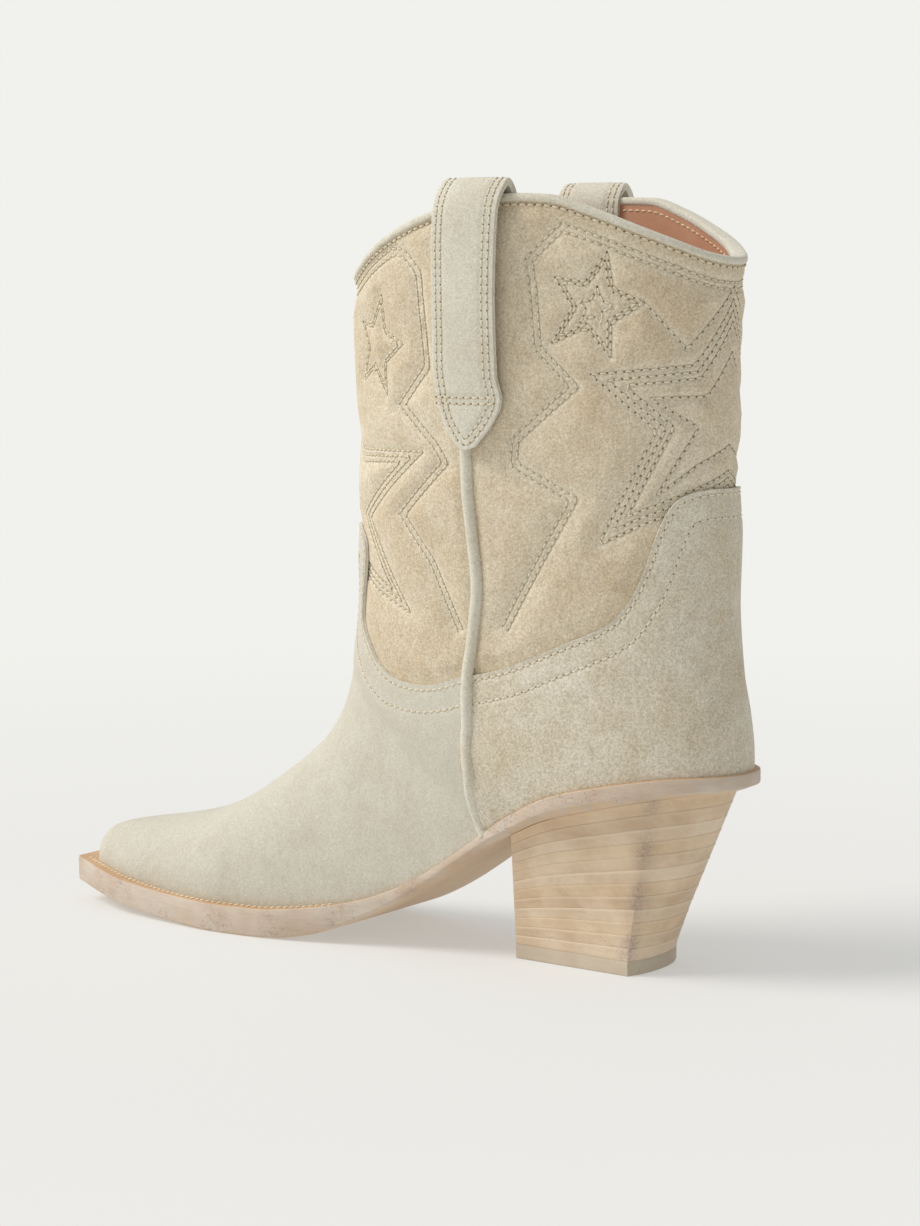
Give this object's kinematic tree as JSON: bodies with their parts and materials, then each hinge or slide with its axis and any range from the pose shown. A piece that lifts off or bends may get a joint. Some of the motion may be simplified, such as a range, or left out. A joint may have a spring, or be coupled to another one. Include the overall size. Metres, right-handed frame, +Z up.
{
  "type": "cowboy boot",
  "caption": "Short pull-on western boot in cream suede with a quilted shaft, pull straps, snip toe, welted leather sole and angled stacked heel.",
  "frame": {"origin": "on the floor under the middle of the heel, on the heel tip's bottom face", "axes": "+X from the toe to the heel, +Y to the wearer's outer side, +Z up"},
  "size_m": [0.2733, 0.0952, 0.2616],
  "materials": {
    "foot_suede": "cream suede with a short soft nap",
    "shaft_suede": "warm cream suede, quilted in rows of stitches",
    "trim_suede": "pale suede, cut edges",
    "lining_leather": "smooth orange-tan lining leather",
    "padding": "matt foam and felt",
    "leather_board": "matt leather board",
    "sole_leather": "natural edge, lightly scuffed",
    "heel_leather": "stacked natural edge, lightly scuffed",
    "tip_rubber": "matt pale rubber",
    "cork": "matt ground cork",
    "steel": "plain spring steel"
  },
  "bodies": {
    "root": {"vamp": "foot_suede", "heel_counter": "foot_suede", "shaft_front": "shaft_suede", "shaft_back": "shaft_suede", "side_piping_inner": "trim_suede", "side_piping_outer": "trim_suede", "top_binding": "trim_suede", "pull_strap_inner": "trim_suede", "pull_strap_outer": "trim_suede", "shaft_lining_front": "lining_leather", "shaft_lining_back": "lining_leather", "vamp_lining": "lining_leather", "heel_lining": "lining_leather", "pull_strap_lining_inner": "lining_leather", "pull_strap_lining_outer": "lining_leather", "sock_liner": "lining_leather", "heel_sock_pad": "lining_leather", "shaft_pad_front": "padding", "shaft_pad_back": "padding", "vamp_interlining": "padding", "toe_puff": "leather_board", "heel_stiffener": "leather_board", "insole_board": "leather_board", "heel_seat_filler": "leather_board", "welt": "sole_leather", "outsole": "sole_leather", "heel_lift_01": "heel_leather", "heel_lift_02": "heel_leather", "heel_lift_03": "heel_leather", "heel_lift_04": "heel_leather", "heel_lift_05": "heel_leather", "heel_lift_06": "heel_leather", "heel_lift_07": "heel_leather", "heel_lift_08": "heel_leather", "heel_lift_09": "heel_leather", "heel_lift_10": "heel_leather", "heel_lift_11": "heel_leather", "heel_lift_12": "heel_leather", "top_piece": "tip_rubber", "forepart_filler": "cork", "shank": "steel", "heel_screw": "steel", "seat_nail_1": "steel", "seat_nail_2": "steel", "seat_nail_3": "steel", "seat_nail_4": "steel"}
  },
  "joints": []
}
